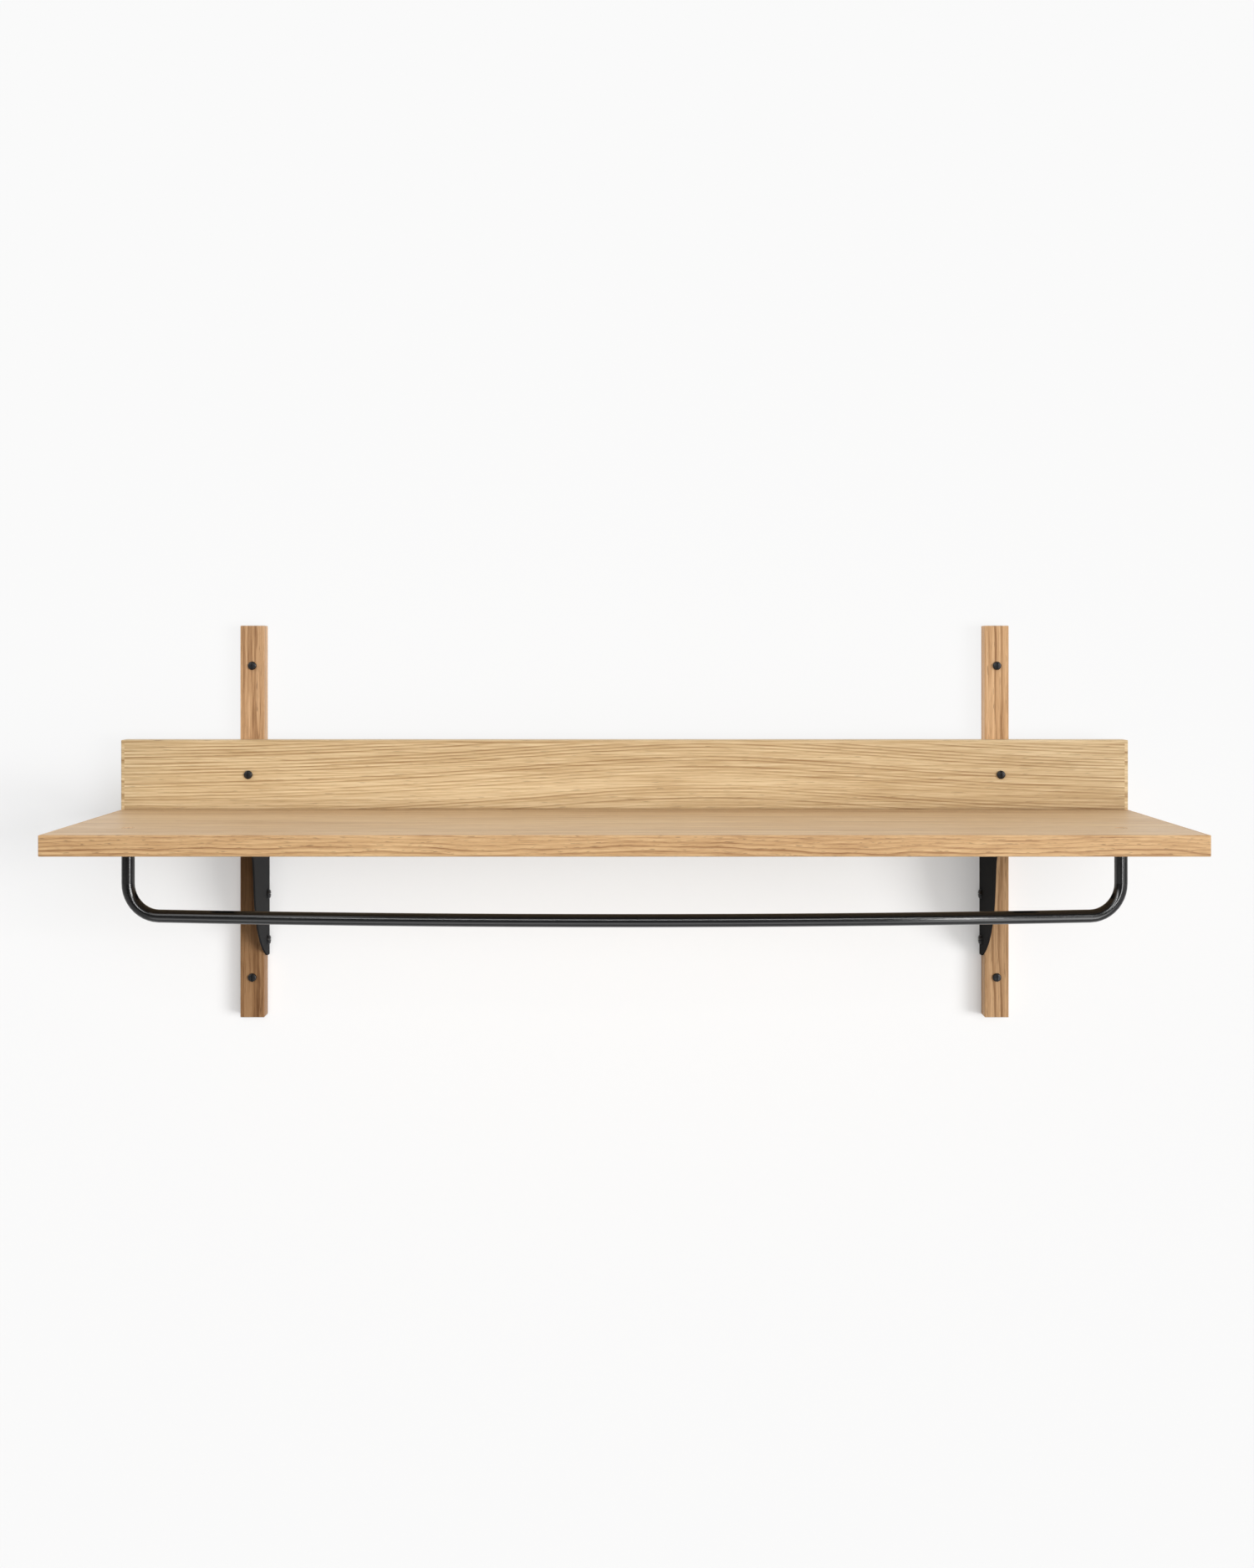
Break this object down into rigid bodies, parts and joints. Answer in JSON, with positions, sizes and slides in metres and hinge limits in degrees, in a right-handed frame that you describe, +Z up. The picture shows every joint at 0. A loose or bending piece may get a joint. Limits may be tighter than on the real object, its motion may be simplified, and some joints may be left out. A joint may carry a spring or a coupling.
{
  "type": "wall shelf",
  "caption": "Narrow oak wall shelf with a low upstand on two wall rails, carried by folded black steel brackets, with a bowed black hanging rod under its front.",
  "frame": {"origin": "middle of the four wall screws, on the wall plane (the rails' back faces)", "axes": "+X to the right seen from the front, along the shelf; +Y into the wall; +Z up"},
  "size_m": [0.87, 0.273, 0.342],
  "materials": {
    "oak_rail": "matt oiled oak, grain upright",
    "oak_upstand": "matt lacquered oak, grain across, light and yellowish",
    "oak_board_face": "matt lacquered oak veneer, grain across",
    "oak_board_edge": "matt lacquered solid oak lipping, warmer and coarser grain",
    "fibreboard": "raw, hidden",
    "beech": "raw, hidden",
    "black_steel": "matt black powder coat",
    "black_screw": "satin black, slotted heads"
  },
  "bodies": {
    "root": {"left_rail": "oak_rail", "right_rail": "oak_rail", "board_core": "fibreboard", "board_top_veneer": "oak_board_face", "board_bottom_veneer": "oak_board_face", "board_front_lipping": "oak_board_edge", "board_left_lipping": "oak_board_edge", "board_right_lipping": "oak_board_edge", "upstand_core": "fibreboard", "upstand_front_veneer": "oak_upstand", "upstand_back_veneer": "oak_upstand", "upstand_top_lipping": "oak_upstand", "upstand_bottom_lipping": "oak_upstand", "upstand_left_lipping": "oak_upstand", "upstand_right_lipping": "oak_upstand", "dowel_1": "beech", "dowel_2": "beech", "dowel_3": "beech", "dowel_4": "beech", "left_bracket": "black_steel", "right_bracket": "black_steel", "hanging_rod": "black_steel", "wall_screw_upper_left": "black_screw", "wall_screw_upper_right": "black_screw", "wall_screw_lower_left": "black_screw", "wall_screw_lower_right": "black_screw", "upstand_screw_left": "black_screw", "upstand_screw_right": "black_screw", "bracket_screw_left_upper": "black_screw", "bracket_screw_left_lower": "black_screw", "bracket_screw_right_upper": "black_screw", "bracket_screw_right_lower": "black_screw", "board_screw_left_1": "black_screw", "board_screw_left_2": "black_screw", "board_screw_left_3": "black_screw", "board_screw_right_1": "black_screw", "board_screw_right_2": "black_screw", "board_screw_right_3": "black_screw", "rod_screw_left": "black_screw", "rod_screw_right": "black_screw", "plug_left": "oak_board_edge", "plug_right": "oak_board_edge"}
  },
  "joints": []
}
